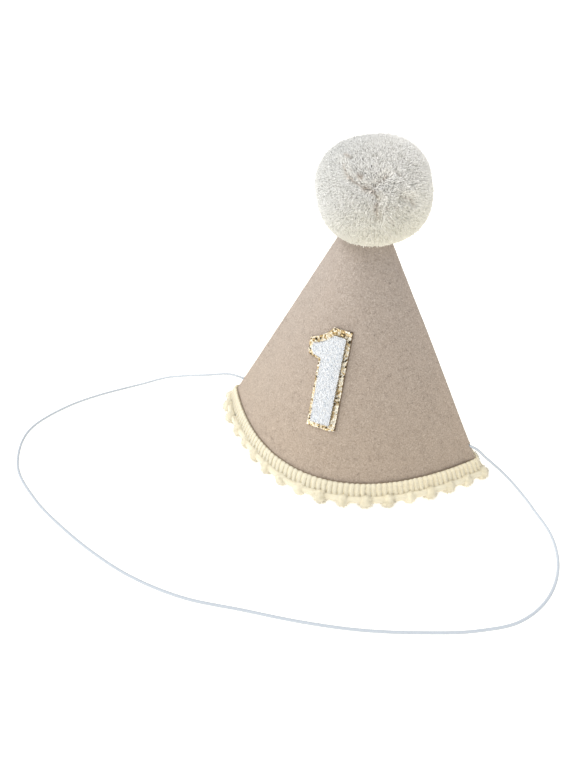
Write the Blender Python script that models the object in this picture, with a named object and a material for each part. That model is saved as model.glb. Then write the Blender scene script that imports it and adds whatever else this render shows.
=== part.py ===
# A small party hat: a felt cone creased at each side, with a pompom on its tip, a raised numeral on
# its front, a trim of ribbed braid and little pompoms round its rim, and a chin cord that lies on the
# surface it stands on.
# Metres, +Z up. The origin is the middle of the hat on that surface, and the numeral faces -Y.

import math
import random
from collections import namedtuple

import bmesh
import bpy
from mathutils import Matrix, Vector

# Cone: the cross-section is two shallow arcs that meet at the creases, on +X and -X
CONE_HALF_WIDTH = 0.0848  # middle to crease, at the felt's lower edge
CONE_HALF_DEPTH = 0.0581  # middle to front, at the felt's lower edge
CONE_HEIGHT = 0.1546  # the felt's lower edge up to the point where its sides would meet
FELT_WALL = 0.0020
TIP_CUT = 0.0150  # how much of the sharp tip is left off, inside the pompom
CONE_COLUMNS = 24  # facets across each side
SEAM_RISE = 0.0015  # the felt's end lies on its start, at the middle of the back

# Trim: braid over the felt's lower edge, and the little pompoms that hang from it
BALL_RADIUS = 0.0045
BALL_PITCH = 0.0126
BALL_OUT = 0.0006  # middle of a little pompom, outside the felt's face
BALL_SIDES = 8
BALL_RINGS = 6
BRAID_HEIGHT = 0.0073
BRAID_DROP = 0.0025  # how far the braid hangs below the felt
BRAID_THICKNESS = 0.0024
RIBS_PER_BALL = 4
RIB_DEPTH = 0.0007

# Pompom on the tip
POMPOM_RADIUS = 0.0286
POMPOM_HALF_HEIGHT = 0.0260
POMPOM_FULLNESS = 2.3  # 2 is an ellipsoid, and more is fuller between its top and its sides
POMPOM_DROP = 0.0018  # middle of the pompom, below the point where the cone's sides would meet
POMPOM_LEAN = 0.0022  # towards +X
LOCK_DEPTH = 0.0016
LOCK_UNEVEN = 0.0006
LOCK_SEED = 3
TIP_SHARE = 0.998  # a point between two locks lies further in than this on the unit ball
PARTING_DEPTH = 0.0022
PARTING_WIDTH = 0.0050

# Numeral and the border that it is mounted on
NUMERAL_HEIGHT = 0.0510
NUMERAL_STEM = 0.0122
NUMERAL_FLAG = 0.0068  # reach of the flag past the stem
NUMERAL_THICKNESS = 0.0028
NUMERAL_ROUNDING = 0.0010
NUMERAL_TOP = 0.0766  # down the front from the point where the cone's sides would meet
NUMERAL_SHIFT = -0.0017  # middle of the stem, from the middle of the front
BORDER_MARGIN = 0.0025
BORDER_THICKNESS = 0.0012
PLATE_STEP = 0.0040  # widest facet across a piece that is bent round the front

# Chin cord
CORD_DIAMETER = 0.0013
HOLE_RADIUS = 0.0015
HOLE_HEIGHT = 0.0222
HOLE_SIDES = 12
KNOT_RADIUS = 0.0022

CLEARANCE = 0.0003  # between pieces that touch

# Places that follow from the sizes
BALL_FLAT = math.cos(math.pi / BALL_RINGS)  # a ball stands on its lowest ring, as a share of its radius
BALL_HEIGHT = BALL_RADIUS * BALL_FLAT
FELT_EDGE = BALL_HEIGHT + BALL_RADIUS + CLEARANCE
APEX_HEIGHT = FELT_EDGE + CONE_HEIGHT
TIP_HEIGHT = APEX_HEIGHT - TIP_CUT
FRONT_SLANT = math.hypot(CONE_HALF_DEPTH, CONE_HEIGHT)
FRONT_LEAN = CONE_HALF_DEPTH / FRONT_SLANT
FRONT_DROP = CONE_HEIGHT / FRONT_SLANT

# The lap of the felt at the back: place from crease to crease, and share of SEAM_RISE
SeamRow = namedtuple("SeamRow", "place rise")
SEAM_ROWS = (SeamRow(0.24, 0.0), SeamRow(0.12, 1.0), SeamRow(0.0, 1.0), SeamRow(0.0, 0.0))
SEAM_ROOM = 0.04  # how much wider the lap is taken by a piece that lies over it

# Braid's section, in order round it: share of the thickness, share of the height, and share of a rib's groove
BraidRow = namedtuple("BraidRow", "thickness height groove")
BRAID_ROWS = (
    BraidRow(0.00, 0.00, 0.0),
    BraidRow(0.80, 0.00, 0.6),
    BraidRow(1.00, 0.20, 1.0),
    BraidRow(0.90, 0.80, 1.0),
    BraidRow(0.60, 1.00, 0.4),
    BraidRow(0.00, 1.00, 0.0),
)

# Numeral's outline: share of the stem's width, share of the flag's reach, and share of the height, downwards
Corner = namedtuple("Corner", "stem flag down")
NUMERAL_CORNERS = (
    Corner(0.00, 1.00, 0.162),
    Corner(0.00, 0.40, 0.127),
    Corner(0.10, 0.00, 0.077),
    Corner(0.35, 0.00, 0.025),
    Corner(0.43, 0.00, 0.000),
    Corner(1.00, 0.00, 0.000),
    Corner(1.00, 0.00, 1.000),
    Corner(0.00, 0.00, 1.000),
    Corner(0.00, 0.00, 0.271),
    Corner(0.00, 0.73, 0.260),
    Corner(0.00, 0.97, 0.237),
)

# Parting in the pompom: three arms from one middle, as degrees round from the front and degrees up
Heading = namedtuple("Heading", "around up")
PARTING_MIDDLE = Heading(15.0, 15.0)
PARTING_ARMS = (Heading(-8.0, 24.0), Heading(28.0, 25.0), Heading(24.0, -10.0))

# Route of the chin cord, out of the left hole, over the surface and into the right hole
CORD_ROUTE = (
    (-0.0733, 0.0000, 0.0222),
    (-0.0800, 0.0000, 0.0222),
    (-0.0900, 0.0008, 0.0213),
    (-0.0990, 0.0000, 0.0192),
    (-0.1083, -0.0014, 0.0165),
    (-0.1187, -0.0019, 0.0134),
    (-0.1288, -0.0028, 0.0101),
    (-0.1385, -0.0046, 0.0072),
    (-0.1469, -0.0081, 0.0044),
    (-0.1541, -0.0131, 0.0023),
    (-0.1606, -0.0184, 0.0011),
    (-0.1662, -0.0249, 0.0007),
    (-0.1748, -0.0360, 0.0007),
    (-0.1877, -0.0599, 0.0007),
    (-0.1918, -0.0870, 0.0007),
    (-0.1734, -0.1156, 0.0007),
    (-0.1425, -0.1322, 0.0007),
    (-0.1128, -0.1412, 0.0007),
    (-0.0862, -0.1468, 0.0007),
    (-0.0619, -0.1497, 0.0007),
    (-0.0300, -0.1484, 0.0007),
    (0.0000, -0.1415, 0.0007),
    (0.0274, -0.1350, 0.0007),
    (0.0540, -0.1268, 0.0007),
    (0.0800, -0.1158, 0.0007),
    (0.1048, -0.1028, 0.0007),
    (0.1208, -0.0905, 0.0007),
    (0.1325, -0.0705, 0.0007),
    (0.1352, -0.0444, 0.0007),
    (0.1292, -0.0263, 0.0007),
    (0.1250, -0.0203, 0.0008),
    (0.1207, -0.0151, 0.0012),
    (0.1162, -0.0102, 0.0022),
    (0.1111, -0.0064, 0.0041),
    (0.1057, -0.0037, 0.0068),
    (0.1000, -0.0023, 0.0102),
    (0.0940, -0.0018, 0.0139),
    (0.0879, -0.0013, 0.0174),
    (0.0822, -0.0004, 0.0206),
    (0.0733, 0.0000, 0.0222),
)


def clear_scene():
    for old in list(bpy.data.objects):
        bpy.data.objects.remove(old, do_unlink=True)


def material(name, colour, roughness, metallic=0.0):
    made = bpy.data.materials.new(name)
    made.use_nodes = True
    shader = made.node_tree.nodes["Principled BSDF"]
    shader.inputs["Base Color"].default_value = (*colour, 1.0)
    shader.inputs["Roughness"].default_value = roughness
    shader.inputs["Metallic"].default_value = metallic
    return made


def finish(name, bm, finish_material=None):
    """Makes an object of the shape, with its faces pointing out."""
    bmesh.ops.recalc_face_normals(bm, faces=bm.faces[:])
    if bm.calc_volume(signed=True) < 0:
        bmesh.ops.reverse_faces(bm, faces=bm.faces[:])
    mesh = bpy.data.meshes.new(name)
    bm.to_mesh(mesh)
    bm.free()
    made = bpy.data.objects.new(name, mesh)
    bpy.context.scene.collection.objects.link(made)
    if finish_material:
        mesh.materials.append(finish_material)
    return made


def helper(made):
    made.hide_render = True
    made.display_type = "WIRE"
    return made


def boolean(made, operation, other):
    step = made.modifiers.new(operation.title(), "BOOLEAN")
    step.operation = operation
    step.solver = "EXACT"
    step.object = other


def felt_point(place, side, height, out):
    """A point out from the cone's face: place runs from crease to crease, -1 to 1, and side is -1 in front.

    The same cone moved up stands clear of itself all round, by no less than out.
    """
    level = (APEX_HEIGHT + out / FRONT_LEAN - height) / CONE_HEIGHT
    across = CONE_HALF_WIDTH * place
    forward = side * CONE_HALF_DEPTH * (1 - place * place)
    return Vector((across * level, forward * level, height))


def arc_to(place):
    """Length of the cone's lower edge from the middle of a side to this place."""
    slope = 2 * CONE_HALF_DEPTH / CONE_HALF_WIDTH
    bent = place * math.hypot(1.0, slope * place) + math.asinh(slope * place) / slope
    return CONE_HALF_WIDTH * bent / 2


def station(turn):
    """Place and side at this share of the way round the rim, from the left crease along the front."""
    side = -1 if turn < 0.5 else 1
    along = (turn % 0.5) * 2
    wanted = (2 * along - 1) * arc_to(1.0) * -side
    low, high = -1.0, 1.0
    for _ in range(40):
        middle = (low + high) / 2
        if arc_to(middle) < wanted:
            low = middle
        else:
            high = middle
    return (low + high) / 2, side


def seam_rows(room):
    """The lap's rows, widened by room on both sides."""
    return [SeamRow(row.place + (room if row.place > 0 else -room), row.rise) for row in SEAM_ROWS]


def seam_rise(place, side, room):
    foot, top, _, edge = seam_rows(room)
    if side < 0 or place > foot.place or place < edge.place:
        return 0.0
    rise = 1.0
    if place > top.place:
        rise = (foot.place - place) / (foot.place - top.place)
    return SEAM_RISE * rise


def felt_ring(height, out, lap=1.0, room=0.0):
    """One ring of the cone's face, with the lap at the back."""
    front = [station(0.5 * column / CONE_COLUMNS) for column in range(CONE_COLUMNS)]
    back = [station(0.5 + 0.5 * column / CONE_COLUMNS) for column in range(CONE_COLUMNS)]
    rows = seam_rows(room)
    before = [place for place, _ in back if place > rows[0].place]
    after = [place for place, _ in back if place < rows[-1].place]
    ring = [felt_point(place, side, height, out) for place, side in front]
    ring += [felt_point(place, 1, height, out) for place in before]
    ring += [felt_point(row.place, 1, height, out + lap * row.rise * SEAM_RISE) for row in rows]
    ring += [felt_point(place, 1, height, out) for place in after]
    return ring


def skin(rings, closed):
    """Joins rings of as many points with faces: round to the first ring again, or with a cap on each end."""
    bm = bmesh.new()
    made = [[bm.verts.new(point) for point in ring] for ring in rings]
    count = len(rings[0])
    pairs = list(zip(made, made[1:]))
    if closed:
        pairs.append((made[-1], made[0]))
    else:
        bm.faces.new(made[0])
        bm.faces.new(made[-1])
    for low, high in pairs:
        for index in range(count):
            after = (index + 1) % count
            bm.faces.new((low[index], low[after], high[after], high[index]))
    bmesh.ops.remove_doubles(bm, verts=bm.verts[:], dist=1e-6)
    return bm


def felt_cone():
    wool = material("felt", (0.55, 0.48, 0.40), 0.95)
    rings = [
        felt_ring(FELT_EDGE, 0.0),
        felt_ring(TIP_HEIGHT, 0.0),
        felt_ring(TIP_HEIGHT, -FELT_WALL, lap=0.0),
        felt_ring(FELT_EDGE, -FELT_WALL, lap=0.0),
    ]
    cone = finish("felt_cone", skin(rings, closed=True), wool)
    drill = bmesh.new()
    across = Matrix.Translation((0, 0, HOLE_HEIGHT)) @ Matrix.Rotation(math.pi / 2, 4, "Y")
    bmesh.ops.create_cone(
        drill,
        cap_ends=True,
        segments=HOLE_SIDES,
        radius1=HOLE_RADIUS,
        radius2=HOLE_RADIUS,
        depth=4 * CONE_HALF_WIDTH,
        matrix=across,
    )
    boolean(cone, "DIFFERENCE", helper(finish("cord_hole_drill", drill)))


def braid_rings(columns):
    rings = []
    for row in BRAID_ROWS:
        ring = []
        for column in range(columns):
            place, side = station(column / columns)
            out = CLEARANCE + row.thickness * BRAID_THICKNESS + seam_rise(place, side, SEAM_ROOM)
            if column % 2:
                out -= row.groove * RIB_DEPTH
            ring.append(felt_point(place, side, FELT_EDGE - BRAID_DROP + row.height * BRAID_HEIGHT, out))
        rings.append(ring)
    return rings


def little_balls(count):
    """The little pompoms as one mesh, each pressed flat where it stands."""
    bm = bmesh.new()
    for index in range(count):
        place, side = station(index / count)
        middle = felt_point(place, side, BALL_HEIGHT, BALL_OUT)
        made = bmesh.ops.create_uvsphere(
            bm,
            u_segments=BALL_SIDES,
            v_segments=BALL_RINGS,
            radius=BALL_RADIUS,
            matrix=Matrix.Translation(middle),
        )
        pole = min(made["verts"], key=lambda vert: vert.co.z)
        pole.co.z = middle.z - BALL_HEIGHT
    return bm


def pompom_trim():
    yarn = material("trim_yarn", (0.80, 0.74, 0.56), 0.9)
    balls = 2 * round(2 * arc_to(1.0) / BALL_PITCH)
    braid = finish("pompom_trim", skin(braid_rings(2 * RIBS_PER_BALL * balls), closed=True), yarn)
    boolean(braid, "UNION", helper(finish("little_pompoms", little_balls(balls), yarn)))


def direction(heading):
    """Unit vector from degrees round from the front, towards +X, and degrees up."""
    turn = math.radians(heading.around)
    rise = math.radians(heading.up)
    return Vector((math.sin(turn) * math.cos(rise), -math.cos(turn) * math.cos(rise), math.sin(rise)))


def parting_at(way):
    """How deep the parting is, 0 to 1, in this direction from the pompom's middle."""
    middle = direction(PARTING_MIDDLE)
    nearest = math.inf
    for arm in PARTING_ARMS:
        run = direction(arm) - middle
        along = max(0.0, min(1.0, (way - middle).dot(run) / run.length_squared))
        nearest = min(nearest, (way - middle - along * run).length)
    return max(0.0, 1 - nearest * POMPOM_RADIUS / PARTING_WIDTH)


def pompom():
    yarn = material("pompom_yarn", (0.75, 0.73, 0.66), 0.95)
    rng = random.Random(LOCK_SEED)
    bm = bmesh.new()
    bmesh.ops.create_icosphere(bm, subdivisions=3, radius=1.0)
    bmesh.ops.subdivide_edges(bm, edges=bm.edges[:], cuts=1, use_grid_fill=True)
    middle = Vector((POMPOM_LEAN, 0, APEX_HEIGHT - POMPOM_DROP))
    for vert in bm.verts:
        way = vert.co.normalized()
        is_tip = vert.co.length > TIP_SHARE
        cut = rng.uniform(0.0, LOCK_UNEVEN) if is_tip else LOCK_DEPTH
        cut += PARTING_DEPTH * parting_at(way)
        share = 1 - cut / POMPOM_RADIUS
        powers = math.hypot(way.x, way.y) ** POMPOM_FULLNESS + abs(way.z) ** POMPOM_FULLNESS
        way = way / powers ** (1 / POMPOM_FULLNESS)
        reach = Vector((POMPOM_RADIUS * way.x, POMPOM_RADIUS * way.y, POMPOM_HALF_HEIGHT * way.z))
        vert.co = middle + share * reach
    ball = finish("pompom", bm, yarn)
    low = middle.z - POMPOM_HALF_HEIGHT - TIP_CUT
    socket = skin(
        [
            felt_ring(low, CLEARANCE, room=SEAM_ROOM),
            felt_ring(TIP_HEIGHT + CLEARANCE, CLEARANCE, room=SEAM_ROOM),
        ],
        closed=False,
    )
    boolean(ball, "DIFFERENCE", helper(finish("tip_socket", socket)))


def on_front(across, out, down):
    """Bends a flat place onto the cone's front, with down measured from where the sides would meet."""
    height = APEX_HEIGHT - down * FRONT_DROP + out * FRONT_LEAN
    level = (APEX_HEIGHT + out / FRONT_LEAN - height) / CONE_HEIGHT
    return felt_point(across / (CONE_HALF_WIDTH * level), -1, height, out)


def numeral_outline(margin):
    """The numeral's corners as across and down, with every side moved out by margin."""
    left = NUMERAL_SHIFT - NUMERAL_STEM / 2
    corners = []
    for corner in NUMERAL_CORNERS:
        across = left + corner.stem * NUMERAL_STEM - corner.flag * NUMERAL_FLAG
        corners.append(Vector((across, NUMERAL_TOP + corner.down * NUMERAL_HEIGHT)))
    outward = []
    for start, end in zip(corners, corners[1:] + corners[:1]):
        run = (end - start).normalized()
        outward.append(Vector((run.y, -run.x)))
    return [
        corner + (before + after) * margin / (1 + before.dot(after))
        for corner, before, after in zip(corners, outward[-1:] + outward[:-1], outward)
    ]


def front_plate(name, margin, near, far, rounding, finish_material):
    """The numeral's outline, widened by margin, as a plate between two distances out from the felt."""
    bm = bmesh.new()
    bm.faces.new([bm.verts.new((across, near, down)) for across, down in numeral_outline(margin)])
    raised = bmesh.ops.extrude_face_region(bm, geom=bm.faces[:])["geom"]
    top = [item for item in raised if isinstance(item, bmesh.types.BMFace)]
    for item in raised:
        if isinstance(item, bmesh.types.BMVert):
            item.co.y = far
    if rounding:
        edges = list({edge for face in top for edge in face.edges})
        bmesh.ops.bevel(
            bm,
            geom=edges,
            offset=rounding,
            segments=2,
            profile=0.5,
            affect="EDGES",
            material=-1,
            clamp_overlap=True,
        )
    low = min(vert.co.x for vert in bm.verts)
    high = max(vert.co.x for vert in bm.verts)
    cuts = math.ceil((high - low) / PLATE_STEP)
    for cut in range(1, cuts):
        bmesh.ops.bisect_plane(
            bm,
            geom=bm.verts[:] + bm.edges[:] + bm.faces[:],
            plane_co=(low + (high - low) * cut / cuts, 0, 0),
            plane_no=(1, 0, 0),
            dist=1e-6,
        )
    bmesh.ops.triangulate(bm, faces=bm.faces[:])
    for vert in bm.verts:
        vert.co = on_front(*vert.co)
    return finish(name, bm, finish_material)


def numeral_patch():
    glitter = material("gold_glitter", (0.80, 0.62, 0.32), 0.3, 0.9)
    chenille = material("white_chenille", (0.86, 0.87, 0.88), 0.9)
    border_top = CLEARANCE + BORDER_THICKNESS
    numeral_base = border_top + CLEARANCE
    front_plate("patch_border", BORDER_MARGIN, CLEARANCE, border_top, 0.0, glitter)
    numeral_top = numeral_base + NUMERAL_THICKNESS
    front_plate("patch_numeral", 0.0, numeral_base, numeral_top, NUMERAL_ROUNDING, chenille)


def knots():
    """The knots behind the felt, each set back from its crease until it clears both walls."""
    cord = material("knot_cord", (0.85, 0.86, 0.88), 0.6)
    slope = 2 * CONE_HALF_DEPTH / CONE_HALF_WIDTH
    facing = slope / math.sqrt(1 + slope**2 + (2 * CONE_HALF_DEPTH / CONE_HEIGHT) ** 2)
    inside = felt_point(1.0, 1, HOLE_HEIGHT, -FELT_WALL).x
    place = inside - (KNOT_RADIUS + CLEARANCE) / facing
    for name, side in (("knot_left", -1), ("knot_right", 1)):
        bm = bmesh.new()
        centre = Matrix.Translation((side * place, 0, HOLE_HEIGHT))
        bmesh.ops.create_icosphere(bm, subdivisions=2, radius=KNOT_RADIUS, matrix=centre)
        finish(name, bm, cord)


def smooth_route(points, steps):
    """Points on one smooth curve through the given ones, with this many steps between two of them."""
    stops = [Vector(point) for point in points]
    runs = [(end - start).length for start, end in zip(stops, stops[1:])]
    headings = [(end - start) / run for start, end, run in zip(stops, stops[1:], runs)]
    tangents = [headings[0]]
    for before, after, run_in, run_out in zip(headings, headings[1:], runs, runs[1:]):
        tangents.append((before * run_out + after * run_in) / (run_in + run_out))
    tangents.append(headings[-1])
    route = []
    for start, end, run, leave, arrive in zip(stops, stops[1:], runs, tangents, tangents[1:]):
        for step in range(steps):
            t = step / steps
            place = start * (2 * t**3 - 3 * t**2 + 1) + end * (3 * t**2 - 2 * t**3)
            route.append(place + run * (leave * (t**3 - 2 * t**2 + t) + arrive * (t**3 - t**2)))
    route.append(stops[-1])
    return route


def elastic_cord():
    elastic = material("elastic", (0.85, 0.86, 0.88), 0.5)
    route = smooth_route(CORD_ROUTE, 2)
    curve = bpy.data.curves.new("elastic_cord", "CURVE")
    curve.dimensions = "3D"
    spline = curve.splines.new("POLY")
    spline.points.add(len(route) - 1)
    for point, place in zip(spline.points, route):
        point.co = (*place, 1.0)
    curve.bevel_depth = CORD_DIAMETER / 2
    curve.bevel_resolution = 2
    curve.use_fill_caps = True
    curve.materials.append(elastic)
    made = bpy.data.objects.new("elastic_cord", curve)
    bpy.context.scene.collection.objects.link(made)


clear_scene()
felt_cone()
pompom_trim()
pompom()
numeral_patch()
knots()
elastic_cord()
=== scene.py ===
import random
from math import asinh, ceil, copysign, cos, exp, hypot, pi, radians, sin, sqrt, tau

import bmesh
import bpy
import numpy as np
from mathutils import Matrix, Vector, noise


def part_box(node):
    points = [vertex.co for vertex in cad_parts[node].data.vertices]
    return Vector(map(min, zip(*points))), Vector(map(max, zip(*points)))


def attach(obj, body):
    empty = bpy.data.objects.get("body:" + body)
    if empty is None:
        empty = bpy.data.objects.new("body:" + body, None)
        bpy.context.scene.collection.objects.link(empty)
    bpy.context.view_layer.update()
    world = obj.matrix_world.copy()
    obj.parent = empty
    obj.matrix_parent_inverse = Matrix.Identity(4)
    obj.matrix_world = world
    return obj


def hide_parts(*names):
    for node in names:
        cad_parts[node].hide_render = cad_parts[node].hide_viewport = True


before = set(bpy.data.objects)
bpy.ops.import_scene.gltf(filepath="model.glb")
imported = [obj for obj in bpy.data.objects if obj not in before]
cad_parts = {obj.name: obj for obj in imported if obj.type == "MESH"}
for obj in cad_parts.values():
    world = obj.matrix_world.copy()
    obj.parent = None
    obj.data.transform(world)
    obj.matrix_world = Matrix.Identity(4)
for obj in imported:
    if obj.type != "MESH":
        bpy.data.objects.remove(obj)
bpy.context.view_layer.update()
scene = bpy.context.scene

# Looks of a small party hat: felt cone, yarn pompom, ball-fringe trim, numeral patch and chin cord
# Metres, +Z up. The numeral faces -Y, and the hat stands on z = 0
# Each piece has a dictionary of its facts, which its functions take as "its"

# The cone's form, read from the frame: two shallow arcs that meet at the creases on +X and -X
feltLow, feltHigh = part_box("felt_cone")
hat = {
    "halfWidth": feltHigh.x,
    "halfDepth": -feltLow.y,
    "rim": feltLow.z,
    "tipCut": 0.015,  # the felt ends this far below the point where its sides would meet
    "wall": 0.002,
    "creaseRadius": 0.0006,
    "gap": 0.0003,  # between pieces that touch
    "lapRise": 0.0015,
    "lapFoot": 0.24,  # places across the back, 0 at its middle and 1 at the crease
    "lapTop": 0.12,
    "lapUnder": 0.13,  # where the felt's hidden end lies
    "trimRoom": 0.04,  # how far beside the lap the trim starts to climb onto it
}
apex = feltHigh.z + hat["tipCut"]
rise = apex - hat["rim"]
frontSlant = hypot(hat["halfDepth"], rise)
frontLean = hat["halfDepth"] / frontSlant
frontDrop = rise / frontSlant
creaseSlope = 2 * hat["halfDepth"] / hat["halfWidth"]


def arcTo(place):  # length along the rim from the middle of a side to this place
    bent = place * hypot(1, creaseSlope * place) + asinh(creaseSlope * place) / creaseSlope
    return hat["halfWidth"] * bent / 2


placeTable = np.linspace(-1, 1, 1601)
arcTable = [arcTo(place) for place in placeTable]
rimLength = 4 * arcTo(1)


def placeAt(turn):  # place and side at this share of the way round, from the left crease along the front
    side = -1 if turn % 1 < 0.5 else 1
    along = (turn % 0.5) * 2
    wanted = (2 * along - 1) * arcTo(1)
    return -side * float(np.interp(wanted, arcTable, placeTable)), side


def conePoint(place, side, height, out):  # a point this far out from the felt's face
    level = (apex + out / frontLean - height) / rise
    across = hat["halfWidth"] * place * level
    forward = hat["halfDepth"] * (1 - place * place) * level
    run = forward / creaseSlope
    across -= copysign(hypot(run, hat["creaseRadius"]) - run, place)
    return Vector((across, side * forward, height))


def lapAt(place, side, room=0.0):  # how far the lap at the back lifts what lies on it
    if side < 0 or place > hat["lapFoot"] + room or place < -room:
        return 0.0
    slope = (hat["lapFoot"] + room - place) / (hat["lapFoot"] - hat["lapTop"])
    return hat["lapRise"] * min(1.0, slope)


def rimPoint(turn, height, out):  # a point near the rim, over the lap
    place, side = placeAt(turn)
    return conePoint(place, side, height, out + lapAt(place, side, hat["trimRoom"]))


# Shaping helpers
def meshOf(bm, name, turnOut=False):
    if turnOut:  # faces point outwards
        bmesh.ops.recalc_face_normals(bm, faces=bm.faces[:])
    mesh = bpy.data.meshes.new(name)
    bm.to_mesh(mesh)
    bm.free()
    return mesh


def show(name, shape, material, smooth=True, stoodFor=()):  # one finished piece of the hat
    mesh = shape if isinstance(shape, bpy.types.Mesh) else meshOf(shape, name)
    piece = bpy.data.objects.new(name, mesh)
    scene.collection.objects.link(piece)
    mesh.materials.append(material)
    mesh.polygons.foreach_set("use_smooth", [smooth] * len(mesh.polygons))
    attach(piece, "root")
    if stoodFor:
        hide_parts(*stoodFor)
    return piece


def stamp(bm, mesh, matrix):  # adds a placed copy of a mesh
    copied = mesh.copy()
    copied.transform(matrix)
    bm.from_mesh(copied)
    bpy.data.meshes.remove(copied)


def extruded(bm, parts, kind=bmesh.types.BMVert):  # the new points or faces of an extrusion
    grown = bmesh.ops.extrude_face_region(bm, geom=parts)["geom"]
    return [item for item in grown if isinstance(item, kind)]


def sweep(bm, path, radius, sides):  # a round tube along a path, closed at both ends
    ways = [(after - before).normalized() for before, after in zip(path, path[1:])]
    ways = [ways[0]] + [(a + b).normalized() for a, b in zip(ways, ways[1:])] + [ways[-1]]
    start = Matrix.Translation(path[0]) @ ways[0].to_track_quat("Z", "Y").to_matrix().to_4x4()
    bmesh.ops.create_circle(bm, cap_ends=True, segments=sides, radius=radius, matrix=start)
    bm.faces.ensure_lookup_table()
    end = bm.faces[-1]
    for here, there, way, nextWay in zip(path, path[1:], ways, ways[1:]):
        end = extruded(bm, [end, *end.edges], bmesh.types.BMFace)[0]  # its edges too, or it stays inside
        turned = way.rotation_difference(nextWay).to_matrix()
        bmesh.ops.rotate(bm, verts=end.verts, cent=here, matrix=turned)
        bmesh.ops.translate(bm, verts=end.verts, vec=there - here)


def tube(path, radius, sides):
    bm = bmesh.new()
    sweep(bm, path, radius, sides)
    return meshOf(bm, "tube", turnOut=True)


def placed(spot, way, roll=0.0, size=1.0):  # a matrix that stands +Z of a stamp along a way
    stood = way.to_track_quat("Z", "Y").to_matrix().to_4x4()
    return Matrix.Translation(spot) @ stood @ Matrix.Rotation(roll, 4, "Z") @ Matrix.Scale(size, 4)


def spike(bm, foot, tip, length, matrix):  # one fine three-sided hair, from its two radii
    sizes = {"radius1": foot, "radius2": tip, "depth": length}
    bmesh.ops.create_cone(bm, cap_ends=True, segments=3, matrix=matrix, **sizes)


def scatter(rng, spread):  # a small random vector
    return Vector([rng.gauss(0, spread) for _ in range(3)])


# Material maths: a Wire is one socket, and a sum or a product with it adds a Math node
class Wire:
    def __init__(self, finish, socket):
        self.finish = finish
        self.socket = socket

    def maths(self, operation, first, second):
        return self.finish.node("ShaderNodeMath", {"operation": operation}, {0: first, 1: second})

    def __add__(self, other):
        return self.maths("ADD", self, other)

    def __mul__(self, other):
        return self.maths("MULTIPLY", self, other)

    __radd__ = __add__
    __rmul__ = __mul__


class Finish:
    def __init__(self, name, rough, gloss=0.5, sheen=0.0, more=None):
        self.material = bpy.data.materials.new(name)
        self.material.use_nodes = True
        self.tree = self.material.node_tree
        self.shader = self.tree.nodes["Principled BSDF"]
        fixed = {"Roughness": rough, "Specular IOR Level": gloss, "Sheen Weight": sheen}
        for socket, value in {**fixed, **(more or {})}.items():
            self.shader.inputs[socket].default_value = value
        self.coords = self.node("ShaderNodeTexCoord", output="Object")

    def node(self, kind, settings=None, inputs=None, output=0):
        made = self.tree.nodes.new(kind)
        for key, value in (settings or {}).items():
            if key == "stops":
                self.setStops(made.color_ramp, value)
            else:
                setattr(made, key, value)
        for key, value in (inputs or {}).items():
            self.feed(made.inputs[key], value)
        return Wire(self, made.outputs[output])

    def setStops(self, ramp, stops):
        while len(ramp.elements) < len(stops):
            ramp.elements.new(0.5)
        for element, (place, colour) in zip(ramp.elements, stops):
            element.position = place
            element.color = (*colour, 1)

    def feed(self, socket, value):
        if isinstance(value, Wire):
            self.tree.links.new(value.socket, socket)
        else:
            socket.default_value = value

    def noise(self, scale, detail=3.0, rough=0.6, swirl=0.0, coords=None):
        inputs = {"Vector": coords or self.coords, "Scale": scale, "Detail": detail}
        inputs.update({"Roughness": rough, "Distortion": swirl})
        return self.node("ShaderNodeTexNoise", {}, inputs)

    def ramp(self, factor, stops):
        return self.node("ShaderNodeValToRGB", {"stops": stops}, {"Fac": factor})

    def span(self, value, low, high):  # 0 at low, 1 at high
        inputs = {"Value": value, "From Min": low, "From Max": high}
        return self.node("ShaderNodeMapRange", {}, inputs)

    def mix(self, factor, first, second):
        return self.node("ShaderNodeMix", {"data_type": "RGBA"}, {0: factor, 6: first, 7: second}, 2)

    def vector(self, operation, first, second=(0, 0, 0), output="Vector"):
        return self.node("ShaderNodeVectorMath", {"operation": operation}, {0: first, 1: second}, output)

    def facing(self, way, toward, low, high):  # 0 to 1, how far one direction points along another
        return self.span(self.vector("DOT_PRODUCT", way, toward, "Value"), low, high)

    def attribute(self, name):
        return self.node("ShaderNodeAttribute", {"attribute_name": name}, output="Fac")

    def colour(self, value):
        self.feed(self.shader.inputs["Base Color"], value)

    def rough(self, value):
        self.feed(self.shader.inputs["Roughness"], value)

    def bump(self, height, distance, strength=1.0):
        inputs = {"Height": height, "Distance": distance, "Strength": strength}
        self.feed(self.shader.inputs["Normal"], self.node("ShaderNodeBump", {}, inputs))


def plainFinish(name, looks, scale, tones, distance=0.0002, strength=0.7):  # thread or cloth of two tones
    f = Finish(name, *looks)
    weave = f.noise(scale, 2)
    f.colour(f.ramp(weave, list(zip((0.3, 0.7), tones))))
    f.bump(weave, distance, strength)
    return f.material


def threadFinish(name, tones):
    return plainFinish(name, (0.7, 0.25), 2400, tones, 0.0001, 0.6)


print("camera, floor and lights")
# The camera stands where the photo was taken from, and its pixels are the photo's
cameraFacts = {
    "azimuth": radians(24.66),
    "elevation": radians(35.97),
    "roll": radians(0.9),
    "focalPixels": 551,
    "frame": (576, 768),
    "apexPixel": (369.9, 186.5),  # where the point shows at which the cone's sides would meet
    "apexDepth": 0.2727,
}


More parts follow.
